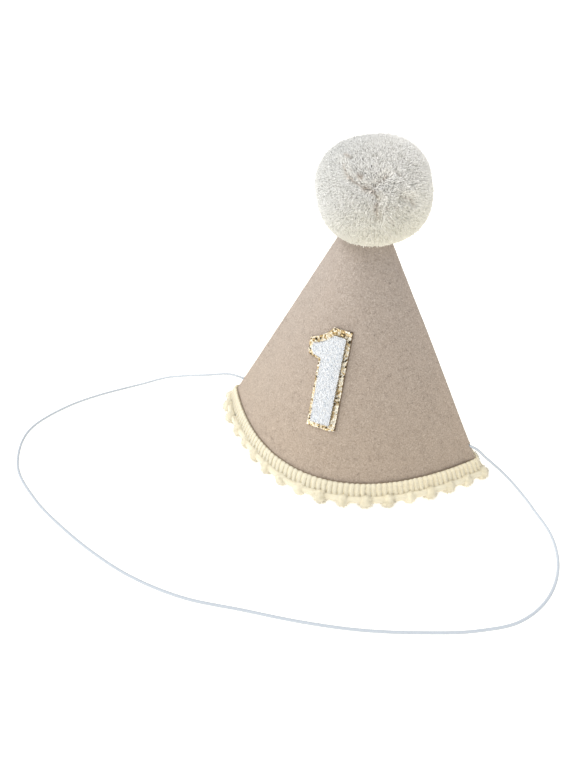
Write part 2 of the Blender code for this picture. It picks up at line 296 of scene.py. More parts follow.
def makeCamera(its):
    turn = its["azimuth"]
    up = its["elevation"]
    back = Vector((sin(turn) * cos(up), -cos(turn) * cos(up), sin(up)))
    level = Vector((cos(turn), sin(turn), 0))
    rolled = Matrix.Rotation(its["roll"], 3, back)
    right = rolled @ level
    above = rolled @ back.cross(level)
    depth = its["apexDepth"]
    off = [at - size / 2 for at, size in zip(its["apexPixel"], its["frame"])]
    across, down = [pixels * depth / its["focalPixels"] for pixels in off]
    data = bpy.data.cameras.new("photoCamera")
    data.sensor_width = 36
    data.lens = data.sensor_width * its["focalPixels"] / its["frame"][1]
    data.clip_start = 0.01
    camera = bpy.data.objects.new("photoCamera", data)
    scene.collection.objects.link(camera)
    camera.matrix_world = Matrix((right, above, back)).transposed().to_4x4()
    camera.location = Vector((0, 0, apex)) - across * right + down * above + depth * back
    scene.camera = camera


makeCamera(cameraFacts)

studio = {
    "floorSize": 40.0,
    "floorGlow": 0.95,  # a lit table, so that it stays white where the hat shades it
    "floorColour": (1.0, 0.96, 0.87, 1.0),
    "floorTones": ((0.53, 0.53, 0.52), (0.56, 0.56, 0.55)),
    "worldColour": (0.975, 0.985, 1.0, 1.0),
    "worldStrength": 0.78,
    "keyFrom": (-0.8, -0.42, 1.0),
    "keyAngle": radians(35),
    "keyStrength": 1.75,
}


def makeStudio(its):
    world = bpy.data.worlds.new("studioWorld")
    world.use_nodes = True
    sky = world.node_tree.nodes["Background"]
    sky.inputs["Color"].default_value = its["worldColour"]
    sky.inputs["Strength"].default_value = its["worldStrength"]
    scene.world = world
    light = bpy.data.lights.new("keyLight", "SUN")
    light.energy = its["keyStrength"]
    light.angle = its["keyAngle"]
    key = bpy.data.objects.new("keyLight", light)
    scene.collection.objects.link(key)
    key.rotation_euler = Vector(its["keyFrom"]).to_track_quat("Z", "Y").to_euler()
    scene.view_settings.view_transform = "Standard"


makeStudio(studio)


def floorFinish(its):
    glow = {"Emission Color": its["floorColour"], "Emission Strength": its["floorGlow"]}
    f = Finish("studioFloor", 0.6, 0.1, more=glow)
    f.colour(f.ramp(f.noise(9, 2), list(zip((0.0, 1.0), its["floorTones"]))))
    return f.material


def makeFloor(its):
    bm = bmesh.new()
    bmesh.ops.create_grid(bm, x_segments=1, y_segments=1, size=its["floorSize"] / 2)
    floor = bpy.data.objects.new("floor", meshOf(bm, "floor"))
    floor.data.materials.append(floorFinish(its))
    scene.collection.objects.link(floor)


makeFloor(studio)

print("chin cord and knots")
lying = 0.00081  # of the cord's middle, where it lies on the surface
chinCord = {
    "diameter": 0.0016,
    "holeHeight": 0.0222,
    "route": (  # out of the left hole, over the surface and into the right hole
        (-0.0733, 0.0, 0.0222), (-0.08, 0.0, 0.0231), (-0.09, 0.0008, 0.0219),
        (-0.099, 0.0, 0.0192), (-0.1083, -0.0014, 0.0165), (-0.1187, -0.0019, 0.0134),
        (-0.1288, -0.0028, 0.0101), (-0.1385, -0.0046, 0.0072), (-0.1469, -0.0081, 0.0044),
        (-0.1541, -0.0131, 0.0023), (-0.1606, -0.0184, 0.0011), (-0.1662, -0.0249, 0.00085),
        (-0.1748, -0.036, lying), (-0.1877, -0.0599, lying), (-0.1918, -0.087, lying),
        (-0.1734, -0.1156, lying), (-0.1425, -0.1322, lying), (-0.1128, -0.1412, lying),
        (-0.0862, -0.1468, lying), (-0.0619, -0.1497, lying), (-0.03, -0.1484, lying),
        (0.0, -0.1415, lying), (0.0274, -0.135, lying), (0.054, -0.1268, lying),
        (0.08, -0.1158, lying), (0.1048, -0.1028, lying), (0.1208, -0.0905, lying),
        (0.1325, -0.0705, lying), (0.1352, -0.0444, lying), (0.1292, -0.0263, 0.00085),
        (0.125, -0.0203, 0.00091), (0.1207, -0.0151, 0.0012), (0.1162, -0.0102, 0.0022),
        (0.1111, -0.0064, 0.0041), (0.1057, -0.0037, 0.0068), (0.1, -0.0023, 0.0102),
        (0.094, -0.0018, 0.0139), (0.0879, -0.0013, 0.0174), (0.0822, -0.0004, 0.0206),
        (0.0733, 0.0, 0.0222),
    ),
    "stepsBetween": 16,
    "sides": 10,
    "knotLoop": 0.00058,
    "knotPull": 0.86,  # how tight the knot is pulled
    "knotTurns": (25, 335),  # degrees
    "knotSteps": 56,
    "tail": 0.0045,
    "tailSteps": 5,
    "tailBend": 0.35,
}


def smoothRoute(points, steps):  # one smooth curve through the points
    stops = [Vector(point) for point in points]
    runs = [(end - start).length for start, end in zip(stops, stops[1:])]
    headings = [(end - start) / run for start, end, run in zip(stops, stops[1:], runs)]
    tangents = [headings[0]]
    for before, after, runIn, runOut in zip(headings, headings[1:], runs, runs[1:]):
        tangents.append((before * runOut + after * runIn) / (runIn + runOut))
    tangents.append(headings[-1])
    route = []
    for start, end, run, leave, arrive in zip(stops, stops[1:], runs, tangents, tangents[1:]):
        for step in range(steps):
            t = step / steps
            spot = start * (2 * t**3 - 3 * t**2 + 1) + end * (3 * t**2 - 2 * t**3)
            route.append(spot + run * (leave * (t**3 - 2 * t**2 + t) + arrive * (t**3 - t**2)))
    route.append(stops[-1])
    return route


def elasticFinish():
    f = Finish("elastic", 0.5, 0.2, 0.4)
    weave = f.noise(2600, 2, 0.6, 0.6)
    long = f.noise(60, 2)
    shade = f.ramp(weave, [(0.25, (0.54, 0.585, 0.638)), (0.75, (0.585, 0.63, 0.683))])
    f.colour(f.mix(long * 0.3, shade, (0.558, 0.603, 0.655, 1)))
    f.rough(f.span(weave, -1.0, 2.0))
    f.bump(weave, 0.0002, 0.7)
    return f.material


def overhandKnot(centre, its, toward):  # the knot and its short tail, inside the felt
    start, end = its["knotTurns"]
    path = []
    for step in range(its["knotSteps"] + 1):
        t = radians(start + (end - start) * step / its["knotSteps"])
        spot = Vector((
            -1.3 * sin(3 * t),
            sin(t) + 2 * sin(2 * t),
            cos(t) - 2 * cos(2 * t),
        ))
        path.append(centre + its["knotLoop"] * spot * its["knotPull"])
    leaving = (path[-1] - path[-2]).normalized()
    hang = Vector((-toward, 0, -0.6)).normalized()
    for _ in range(its["tailSteps"]):
        leaving = leaving.lerp(hang, its["tailBend"]).normalized()
        path.append(path[-1] + leaving * its["tail"] / its["tailSteps"])
    return tube(path, its["diameter"] / 2, its["sides"])


def makeChinCord(its):
    finish = elasticFinish()
    route = smoothRoute(its["route"], its["stepsBetween"])
    length = sum((end - start).length for start, end in zip(route, route[1:]))
    mesh = tube(route, its["diameter"] / 2, its["sides"])
    cord = show("chinCord", mesh, finish, stoodFor=["elastic_cord"])
    for name, node, side in (("knotLeft", "knot_left", -1), ("knotRight", "knot_right", 1)):
        low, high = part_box(node)
        mesh = overhandKnot((low + high) / 2, its, side)
        show(name, mesh, finish, stoodFor=[node])
    print("chin cord", round(length, 4), "m")


makeChinCord(chinCord)

print("felt cone")
felt = {
    "columns": (62, 118, 58),  # hidden end to left crease, along the front, right crease to outer end
    "rows": 80,
    "rowsTowardsRim": 1.25,
    "creaseDensity": 0.6,
    "tuckIn": 0.0006,  # how far in the hidden end lies
    "ripple": 0.00035,
    "rippleScale": 16,
    "grain": 0.00006,
    "grainScale": 650,
    "holeRadius": 0.0012,
    "holeMiddle": chinCord["holeHeight"] + 0.0003,
    "ridge": 0.0008,  # the right crease is pressed flat into a low ridge
    "ridgeWidth": 0.0035,
}


def feltFinish():
    f = Finish("feltWool", 0.95, 0.12, 0.25)
    fleck = f.noise(1250, 4, 0.75)
    hair = f.noise(520, 3, 0.6, 2.5)
    cloud = f.noise(95, 2, 0.5)
    tone = f.ramp(fleck * 0.62 + hair * 0.38, [
        (0.32, (0.25, 0.195, 0.15)),
        (0.45, (0.39, 0.32, 0.258)),
        (0.55, (0.47, 0.395, 0.325)),
        (0.7, (0.66, 0.57, 0.485)),
    ])
    worn = f.mix(f.span(cloud, 0.35, 0.75) * 0.18, tone, (0.49, 0.395, 0.315, 1))
    # painted light: warmer towards the rim and cooler towards the top, for warm bounce from the floor and
    # cool light from above
    up = f.node("ShaderNodeSeparateXYZ", {}, {0: f.coords}, "Z")
    paintedBounceTint = f.mix(f.span(up, 0.025, 0.125), (1.02, 0.99, 0.96, 1), (0.985, 1.005, 1.07, 1))
    f.colour(f.vector("MULTIPLY", worn, paintedBounceTint))
    f.bump(fleck * 0.6 + hair * 0.8, 0.0005, 0.8)
    return f.material


def feltColumn(share, its, stops):  # place, side and lift of a column of the sheet
    index = share * sum(its["columns"])
    part = 0
    while part < 2 and index >= its["columns"][part]:
        index -= its["columns"][part]
        part += 1
    along = index / its["columns"][part]
    along -= its["creaseDensity"] * sin(tau * along) / tau
    place, side = placeAt(stops[part] + (stops[part + 1] - stops[part]) * along)
    lift = 0.0
    if part == 0:
        lift = -its["tuckIn"] * min(1.0, max(0.0, place * 10 + 1.2))
    if part == 2:
        lift = lapAt(place, side)
    lift += its["ridge"] * exp(-(((1 - place) * hat["halfWidth"] / its["ridgeWidth"]) ** 2))
    return place, side, lift


def makeFeltCone(its):
    hiddenEnd = 0.75 - arcTo(hat["lapUnder"]) / rimLength
    stops = (hiddenEnd, 1.0, 1.5, 1.75)
    tip = apex - hat["tipCut"]
    columns = sum(its["columns"])
    bm = bmesh.new()
    bmesh.ops.create_grid(bm, x_segments=columns, y_segments=its["rows"], size=0.5)
    bmesh.ops.translate(bm, verts=bm.verts, vec=(0.5, 0.5, 0))
    table = [feltColumn(column / columns, its, stops) for column in range(columns + 1)]

    def bend(flat):
        place, side, lift = table[round(flat.x * columns)]
        height = hat["rim"] + (tip - hat["rim"]) * max(0.0, flat.y) ** its["rowsTowardsRim"]
        spot = conePoint(place, side, height, lift - flat.z * hat["wall"])
        ripple = its["ripple"] * noise.noise(spot * its["rippleScale"])
        grain = its["grain"] * noise.noise(spot * its["grainScale"])
        return conePoint(place, side, height, lift - flat.z * hat["wall"] + ripple + grain)

    hole = bm.verts.layers.int.new("hole")
    cut = []
    for face in bm.faces:
        middle = sum((bend(vert.co) for vert in face.verts), Vector()) / len(face.verts)
        if hypot(middle.y, middle.z - its["holeMiddle"]) < its["holeRadius"]:
            cut.append(face)
    for face in cut:
        for vert in face.verts:
            vert[hole] = 1
    bmesh.ops.delete(bm, geom=cut, context="FACES")
    bmesh.ops.translate(bm, verts=extruded(bm, bm.faces[:]), vec=(0, 0, 1))
    for vert in bm.verts:
        vert.co = bend(vert.co)
        if vert[hole]:
            off = Vector((0, vert.co.y, vert.co.z - its["holeMiddle"]))
            vert.co += off.normalized() * its["holeRadius"] - off
    mesh = meshOf(bm, "feltCone", turnOut=True)
    cone = show("feltCone", mesh, feltFinish(), stoodFor=["felt_cone"])
    slant = (tip - hat["rim"]) / frontDrop
    around = rimLength * (stops[3] - stops[0])
    topShare = hat["tipCut"] / rise
    round(around * slant * (1 + topShare) / 2, 5)
    print("felt sheet", round(around, 3), "by", round(slant, 3), "m before it was rolled")


makeFeltCone(felt)

fuzz = {
    "seed": 5,
    "tufts": 2400,
    "variants": 6,
    "hairs": 5,
    "length": 0.0014,
    "radius": 0.000035,
    "lean": (radians(48), radians(86)),
    "rootSpread": 0.0004,
    "topShare": 0.012,  # of the cone's area, which the pompom hides
    "margin": 0.004,  # from the rim
    "patchWide": 0.016,
    "patchHigh": (0.036, 0.096),
}


upright = (0, 0.01)  # the lean of a hair that stands up


def needles(rng, count, length, radius, lean, rootSpread):  # fine hairs that stand up from one spot
    bm = bmesh.new()
    for _ in range(count):
        long = length * rng.uniform(0.7, 1.2)
        tilt = Matrix.Rotation(rng.uniform(*lean), 4, "X")
        turn = Matrix.Rotation(rng.uniform(0, tau), 4, "Z")
        root = Matrix.Translation((rng.gauss(0, rootSpread), rng.gauss(0, rootSpread), 0))
        stand = Matrix.Translation((0, 0, long / 2))
        spike(bm, radius, 0, long, root @ turn @ tilt @ stand)
    return meshOf(bm, "needles")


def feltNormal(place, side, height):
    step = 0.002
    along = conePoint(place + step, side, height, 0) - conePoint(place - step, side, height, 0)
    up = conePoint(place, side, height + step, 0) - conePoint(place, side, height - step, 0)
    return along.cross(up).normalized() * -side


def makeFuzz(its):
    rng = random.Random(its["seed"])
    size = (its["length"], its["radius"], its["lean"], its["rootSpread"])
    kinds = [needles(rng, its["hairs"], *size) for _ in range(its["variants"])]
    patchFoot, patchTop = its["patchHigh"]
    bm = bmesh.new()
    while len(bm.verts) < its["tufts"] * its["hairs"] * 4:
        level = sqrt(rng.uniform(its["topShare"], 1))
        place, side = placeAt(rng.random())
        height = apex - level * rise
        spot = conePoint(place, side, height, lapAt(place, side))
        onPatch = side < 0 and abs(spot.x) < its["patchWide"] and patchFoot < height < patchTop
        if onPatch or height < hat["rim"] + its["margin"]:
            continue
        way = feltNormal(min(0.99, max(-0.99, place)), side, height)
        stamp(bm, rng.choice(kinds), placed(spot, way, rng.uniform(0, tau)))
    show("feltFuzz", bm, feltFinish())


makeFuzz(fuzz)

seam = {
    "place": 0.06,
    "stitch": 0.003,
    "pitch": 0.0044,
    "thread": 0.00026,
    "arch": 2.2,  # how far a stitch stands out, in radii of its thread
    "steps": 6,
    "sides": 6,
    "margin": 0.012,  # from the braid and from the pompom
    "colours": ((0.26, 0.21, 0.165), (0.38, 0.32, 0.26)),
}


def makeSeam(its):
    bm = bmesh.new()
    height = hat["rim"] + its["margin"]
    while height < apex - hat["tipCut"] - its["margin"]:
        path = []
        for step in range(its["steps"] + 1):
            along = step / its["steps"]
            lift = its["thread"] * (its["arch"] * sin(pi * along) - 1)
            z = height + its["stitch"] * along
            path.append(conePoint(its["place"], 1, z, hat["lapRise"] + lift))
        sweep(bm, path, its["thread"], its["sides"])
        height += its["pitch"]
    mesh = meshOf(bm, "seamStitches", turnOut=True)
    show("seamStitches", mesh, threadFinish("seamThread", its["colours"]))


makeSeam(seam)

print("pompom")
pomLow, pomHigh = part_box("pompom")
pompom = {
    "seed": 11,
    "radius": 0.02895,
    "halfHeight": 0.0272,
    "fullness": 2.38,  # 2 is an ellipsoid, and more is fuller between its top and its sides
    "middle": Vector(((pomLow.x + pomHigh.x) / 2 - 0.0003, 0, apex - 0.0021)),
    "tilt": radians(-12),  # leans over to its right
    "pressedWay": (168, 47.5),  # the ball is a little flatter this way
    "pressed": 0.917,
    "core": 0.925,
    "coreLumps": 0.0005,
    "coreSink": 0.0036,
    "coreRoots": 0.6,  # the partings open from this share of the radius outwards
    "strandRoots": 0.74,
    "tufts": 2490,
    "pieces": 3,
    "variants": 12,
    "strands": 26,
    "strandLength": 0.0075,
    "strandRadius": 0.00025,
    "strandTaper": 0.67,
    "rootSpread": 0.00065,
    "tipSpread": 0.00135,
    "uneven": 0.0005,
    "clumpScale": 9,
    "clumpDepth": 0.02,
    "wander": 0.018,  # how unevenly the tufts are spread
    "sway": 0.09,
    "sizeSpread": 0.02,
    "fan": 0.32,  # how far the yarn leans away from the partings
    "fanWidth": 0.008,
    "partingWidth": 0.002,
    "partingPush": 0.0008,
    "partingSink": 0.0014,
    "front": (15, 15),  # the middle of the partings
    # the parting's lines, as degrees round from the front and degrees up
    "partings": (
        ((12.5, 17.0), (-12.0, 25.4)), ((-12.0, 25.4), (-24.0, 36.0)), ((13.4, 17.0), (27.4, 29.3)),
        ((14.0, 16.5), (22.4, 9.7)), ((22.4, 9.7), (24.1, -9.5)), ((46.4, 10.6), (58.0, 6.5)),
    ),
    # painted shadows along the gaps in the yarn: from, to, half the width and how dark
    "paintedGapShadows": (
        ((-24.1, 36.0), (-11.8, 24.8), 0.0006, 0.7), ((-12.3, 26.0), (-6.0, 23.6), 0.0008, 0.9),
        ((-6.0, 23.6), (8.6, 17.5), 0.0006, 0.7), ((7.0, 18.3), (10.0, 17.2), 0.0012, 1.0),
        ((14.8, 16.6), (17.5, 15.2), 0.001, 1.0), ((13.4, 17.0), (27.4, 29.3), 0.0006, 0.3),
        ((26.0, 28.5), (28.5, 29.8), 0.0008, 0.7), ((17.0, 15.5), (22.4, 9.7), 0.00065, 0.6),
        ((22.4, 9.7), (20.6, 0.9), 0.0006, 0.5), ((20.3, 4.0), (20.6, -1.5), 0.0013, 0.75),
        ((20.6, -1.5), (24.1, -9.5), 0.0006, 0.65), ((0.3, 28.3), (2.7, 27.4), 0.0011, 0.85),
        ((-27.7, 44.0), (-18.1, 42.9), 0.0008, 0.6), ((46.4, 10.6), (58.0, 6.5), 0.0008, 0.45),
        ((57.0, 3.4), (60.0, 2.4), 0.0014, 0.35), ((33.5, -6.6), (40.0, -16.3), 0.0005, 0.45),
        ((36.5, 33.2), (42.9, 28.9), 0.00055, 0.4), ((30.0, 2.0), (31.2, 0.2), 0.0008, 0.45),
        ((39.0, 2.0), (41.2, 1.0), 0.0008, 0.35),
    ),
}


def heading(around, up):
    around = radians(around)
    up = radians(up)
    return Vector((sin(around) * cos(up), -cos(around) * cos(up), sin(up)))


def pompomFinish(its):
    f = Finish("pompomYarn", 0.95, 0.1, 0.9)
    # painted shade: the yarn darkens and browns the deeper it lies among the strands
    depth = f.ramp(f.span(f.attribute("depth"), 0.78, 1.0), [
        (0.0, (0.54, 0.42, 0.3)),
        (0.26, (0.86, 0.79, 0.69)),
        (0.44, (0.97, 0.945, 0.89)),
        (1.0, (0.99, 0.98, 0.955)),
    ])
    off = f.vector("SUBTRACT", f.coords, its["middle"])
    way = f.vector("NORMALIZE", off)
    ends = f.node("ShaderNodeTexVoronoi", {}, {"Vector": way, "Scale": 42}, "Color")
    end = f.node("ShaderNodeSeparateColor", {}, {0: ends})
    cloud = f.span(f.noise(7, 2, 0.6, 0, way), 0.35, 0.7)
    tone = f.mix(end * 0.09 + cloud * 0.05, depth, (0.76, 0.73, 0.63, 1))
    # painted shade: the side towards the key light is toned darker and cooler
    left = f.facing(way, heading(-75, 10), 0.0, 0.9)
    paintedLeftShade = f.mix(left * 0.5, tone, (0.8, 0.81, 0.8, 1))
    # painted light: the lower right is tinted warm, for bounce light from the floor and felt
    below = f.facing(way, heading(60, -60), 0.1, 1.0)
    paintedWarmBounce = f.mix(below * 0.45, paintedLeftShade, (0.88, 0.85, 0.68, 1))
    grain = f.noise(30, 3, 0.7, 0, way)
    # painted shadow: dark brown lines along the gaps between the tufts
    gap = f.span(f.attribute("gap") * (grain + 0.5), 0.08, 1.0) * 0.6
    f.colour(f.mix(gap, paintedWarmBounce, (0.4, 0.28, 0.18, 1)))
    f.bump(f.noise(3000, 2), 0.0002, 0.4)
    return f.material


def strandTuft(rng, its):  # one cut yarn end: fine strands that open out towards their tips
    bm = bmesh.new()
    for _ in range(its["strands"]):
        root = Vector((rng.gauss(0, its["rootSpread"]), rng.gauss(0, its["rootSpread"]), 0))
        tip = Vector((rng.gauss(0, its["tipSpread"]), rng.gauss(0, its["tipSpread"]), 0))
        tip.z = its["strandLength"] + rng.uniform(-1, 0.3) * its["uneven"]
        run = tip - root
        thin = its["strandRadius"] * its["strandTaper"]
        stood = placed((root + tip) / 2, run, rng.uniform(0, tau))
        spike(bm, its["strandRadius"], thin, run.length, stood)
    return meshOf(bm, "strandTuft")


def pompomSkin(way, its):  # from the pompom's middle to its outside, this way
    turn = Matrix.Rotation(its["tilt"], 3, "Y")
    way = way @ turn
    full = its["fullness"]
    shrink = (hypot(way.x, way.y) ** full + abs(way.z) ** full) ** (-1 / full)
    flat = its["radius"] * shrink
    skin = turn @ Vector((flat * way.x, flat * way.y, its["halfHeight"] * shrink * way.z))
    press = heading(*its["pressedWay"])
    return skin + press * skin.dot(press) * (its["pressed"] - 1)


def markPompom(mesh, its):  # how far out each point is, and how dark the painted shadow is of the gap that it lies in
    spots = np.empty(len(mesh.vertices) * 3)
    mesh.vertices.foreach_get("co", spots)
    off = spots.reshape(-1, 3) - np.array(its["middle"])
    ways = off / np.linalg.norm(off, axis=1)[:, None]
    press = np.array(heading(*its["pressedWay"]))
    unpressed = off + np.outer(off @ press * (1 / its["pressed"] - 1), press)
    level = unpressed @ np.array(Matrix.Rotation(its["tilt"], 3, "Y"))
    flat = np.hypot(level[:, 0], level[:, 1]) / its["radius"]
    high = np.abs(level[:, 2]) / its["halfHeight"]
    full = its["fullness"]
    gap = np.zeros(len(ways))
    for start, end, width, dark in its["paintedGapShadows"]:
        first = np.array(heading(*start))
        run = np.array(heading(*end)) - first
        along = np.clip((ways - first) @ run / (run @ run), 0, 1)
        apart = np.linalg.norm(ways - first - along[:, None] * run, axis=1) * its["radius"]
        gap = np.maximum(gap, dark * np.exp(-((apart / width) ** 2)))
    marks = {"depth": (flat**full + high**full) ** (1 / full), "gap": gap}
    for name, values in marks.items():
        mesh.attributes.new(name, "FLOAT", "POINT").data.foreach_set("value", values)
    return mesh


def partingLines(its):
    return [(heading(*start), heading(*end)) for start, end in its["partings"]]


def awayFrom(lines, way, width):  # away from the parting's lines, and how near they are, from 0 to 1
    apart = Vector()
    nearest = 0.0
    for start, end in lines:
        run = end - start
        along = max(0.0, min(1.0, (way - start).dot(run) / run.length_squared))
        gap = way - start - along * run
        near = exp(-((gap.length / width) ** 2))
        apart += gap * near * 2.33 / width  # which makes the push 1 where it is strongest
        nearest = max(nearest, near)
    if apart.length > 1:
        apart.normalize()
    return apart, nearest


def clearOfFelt(spot):  # moves a point that is inside the felt out to its face
    level = (apex + hat["gap"] / frontLean - spot.z) / rise
    if level <= 0:
        return spot
    a = (spot.x / (hat["halfWidth"] * level)) ** 2
    b = abs(spot.y) / (hat["halfDepth"] * level)
    if a + b >= 1 or a < 1e-9:
        return spot
    grow = (sqrt(b * b + 4 * a) - b) / (2 * a)
    return Vector((spot.x * grow, spot.y * grow, spot.z))


def openPartings(bm, its, roots, push, deep):  # sinks what lies at the partings, and pushes it apart
    middle = its["middle"]
    lines = partingLines(its)
    width = its["partingWidth"] / its["radius"]
    front = heading(*its["front"])
    for vert in bm.verts:
        off = vert.co - middle
        reach = off.length
        way = off / reach
        if way.dot(front) > 0.55:
            apart, sink = awayFrom(lines, way, width)
            part = max(0.0, reach / its["radius"] - roots) / (1 - roots)
            vert.co += apart * push * part - way * sink * deep * part
        if vert.co.z < middle.z - 0.008:
            vert.co = clearOfFelt(vert.co)


def makePompom(its):
    rng = random.Random(its["seed"])
    finish = pompomFinish(its)
    middle = its["middle"]
    bm = bmesh.new()
    bmesh.ops.create_icosphere(bm, subdivisions=5, radius=1)
    for vert in bm.verts:
        lump = noise.noise(vert.co * its["clumpScale"]) * its["coreLumps"]
        vert.co = middle + pompomSkin(vert.co, its) * its["core"] + vert.co * lump
    openPartings(bm, its, its["coreRoots"], 0, its["coreSink"])
    core = markPompom(meshOf(bm, "pompomCore"), its)
    show("pompomCore", core, finish, stoodFor=["pompom"])
    kinds = [strandTuft(rng, its) for _ in range(its["variants"])]
    golden = pi * (3 - sqrt(5))
    lines = partingLines(its)
    fanWidth = its["fanWidth"] / its["radius"]
    front = heading(*its["front"])
    each = its["tufts"] // its["pieces"]
    for piece in range(its["pieces"]):
        bm = bmesh.new()
        for index in range(piece * each, (piece + 1) * each):
            z = 1 - 2 * (index + 0.5) / its["tufts"]
            flat = sqrt(1 - z * z)
            way = Vector((flat * cos(index * golden), flat * sin(index * golden), z))
            way += scatter(rng, its["wander"])
            way.normalize()
            lean = way + scatter(rng, its["sway"])
            if way.dot(front) > 0.3:
                lean += awayFrom(lines, way, fanWidth)[0] * its["fan"]
            lean.normalize()
            lump = 1 + noise.noise(way * its["clumpScale"]) * its["clumpDepth"]
            size = lump - abs(rng.gauss(0, its["sizeSpread"]))
            root = middle + pompomSkin(way, its) - lean * its["strandLength"]
            if (clearOfFelt(root) - root).length > 1e-7:
                continue
            stamp(bm, rng.choice(kinds), placed(root, lean, rng.uniform(0, tau), size))
        openPartings(bm, its, its["strandRoots"], its["partingPush"], its["partingSink"])
        name = "pompomStrands" + str(piece + 1)
        show(name, markPompom(meshOf(bm, name), its), finish, smooth=False)


makePompom(pompom)

print("ball-fringe trim")
trim = {
    "seed": 23,
    "balls": 34,
    "ribsPerBall": 4,
    "drop": 0.0025,  # how far the braid hangs below the felt
    "height": 0.0083,
    "bandThickness": 0.0011,
    "plyRadius": 0.00077,
    "plySpread": 0.00073,  # how far a rib's two plies lie from its middle
    "plyDepth": 0.6,  # in and out, for their spread
    "plyTurns": 2.4,
    "beadSize": (0.00165, 0.0012, 0.0014),
    "ribOut": 0.0013,
    "ribFlat": 0.55,  # how deep a rib is for its width
    "ribSides": 6,
    "ribSteps": 12,
    "ribFoot": 0.04,  # shares of the braid's height
    "ribRise": 0.74,
    "bandMiddle": 0.47,  # of the tape behind the ribs
    "bandTall": 0.86,
    "ribKinds": 8,
    "ribStray": (0.03, 0.00006),  # how unevenly the ribs lean and stand out
    "threadRadius": 0.0005,
    "threadHeight": 0.07,
    "threadWave": 0.4,
    "ballRadius": 0.0045,
    "ballHeight": 0.0039,
    "ballOut": 0.0006,
    "ballCore": 0.9,
    "ballLumps": 0.05,
    "ballLumpScale": 500,
    "ballHairs": 700,
    "ballKinds": 6,
    "ballSizes": (0.95, 1.04),
    "hairShare": 0.5,  # of the ball's radius
    "hairRoot": 0.62,
    "hairLean": 0.22,
    "hairSizes": (0.75, 1.4, 0.95),
    "hairRadius": 0.00013,
    "flare": 0.0028,  # some balls stand out near the hat's left end
    "flareTurn": 0.05,
    "flareWidth": 0.035,
    "webRadius": 0.0021,  # the soft web that the balls hang in
    "webHeight": 0.0052,
    "webOut": 0.0014,
    "webHairs": 9000,
    "webLumps": 0.0004,
    "webLumpScale": 700,
    "webHairRoot": 0.6,  # of the web's radius
    "webHairSizes": (0.4, 0.8),
    "strayHairs": 90,
    "strayLength": 0.0034,
    "strayUp": 0.0012,
    "strayOut": (0.0006, 0.0024),
    "straySway": 0.45,
    "straySizes": (0.6, 1.1),
    # a dark thread along the braid's top edge, which stands in for the shadow where the braid meets the
    # felt
    "seamThread": 0.00024,
    "shadowLineDrop": 0.0006,
    "shadowLineColours": ((0.24, 0.18, 0.12), (0.36, 0.28, 0.2)),
    "ribColours": ((0.78, 0.68, 0.475), (0.87, 0.79, 0.58), (0.89, 0.83, 0.68)),
    "ballColours": ((0.83, 0.74, 0.54), (0.9, 0.83, 0.63), (0.93, 0.88, 0.72)),
    "tapeColours": ((0.78, 0.7, 0.51), (0.89, 0.815, 0.62)),
    "ribShaded": 0.8,
    "ballShaded": 0.2,
    "tucked": {0: 0.72},  # balls that are squeezed small, by their place from the left crease
}


def trimFinish(name, tones, shaded):  # shaded: how far painted shade tones it down at the front left, where the key light falls
    f = Finish(name, 0.9, 0.15, 0.8)
    ply = f.noise(1900, 3, 0.7)
    long = f.noise(130, 2)
    tone = f.ramp(ply, list(zip((0.28, 0.5, 0.72), tones)))
    mottled = f.mix(f.span(long, 0.35, 0.75) * 0.4, tone, (0.88, 0.75, 0.5, 1))
    way = f.vector("NORMALIZE", f.coords)
    # painted shade: darker where it faces the key light at the front left
    left = f.facing(way, heading(-25, 0), 0.1, 0.9)
    f.colour(f.mix(left * shaded, mottled, (0.7, 0.65, 0.5, 1)))
    f.bump(ply, 0.0003, 0.8)
    return f.material


def wrapRound(bm, base):  # bends a straight trim round the rim, which turns its faces in
    for vert in bm.verts:
        vert.co = rimPoint(vert.co.x / rimLength, base + vert.co.z, vert.co.y)
    bmesh.ops.reverse_faces(bm, faces=bm.faces[:])


def braidRib(its, rng):  # one rib of the braid: two plies twisted upright, under a bead of yarn
    bm = bmesh.new()
    start = rng.uniform(0, pi)
    steps = its["ribSteps"]
    for ply in (0, pi):
        path = []
        for step in range(steps + 1):
            turn = start + ply + tau * its["plyTurns"] * step / steps
            out = its["ribOut"] + its["plySpread"] * its["plyDepth"] * sin(turn)
            up = its["height"] * (its["ribFoot"] + its["ribRise"] * step / steps)
            path.append(Vector((its["plySpread"] * cos(turn), out, up)))
        sweep(bm, path, its["plyRadius"], its["ribSides"])
    spot = Matrix.Translation((0, its["ribOut"], its["height"] - its["beadSize"][2]))
    bead = spot @ Matrix.Diagonal((*its["beadSize"], 1))
    bmesh.ops.create_icosphere(bm, subdivisions=2, radius=1, matrix=bead)
    for vert in bm.verts:
        vert.co.y = its["ribOut"] + (vert.co.y - its["ribOut"]) * its["ribFlat"]
    return meshOf(bm, "braidRib", turnOut=True)


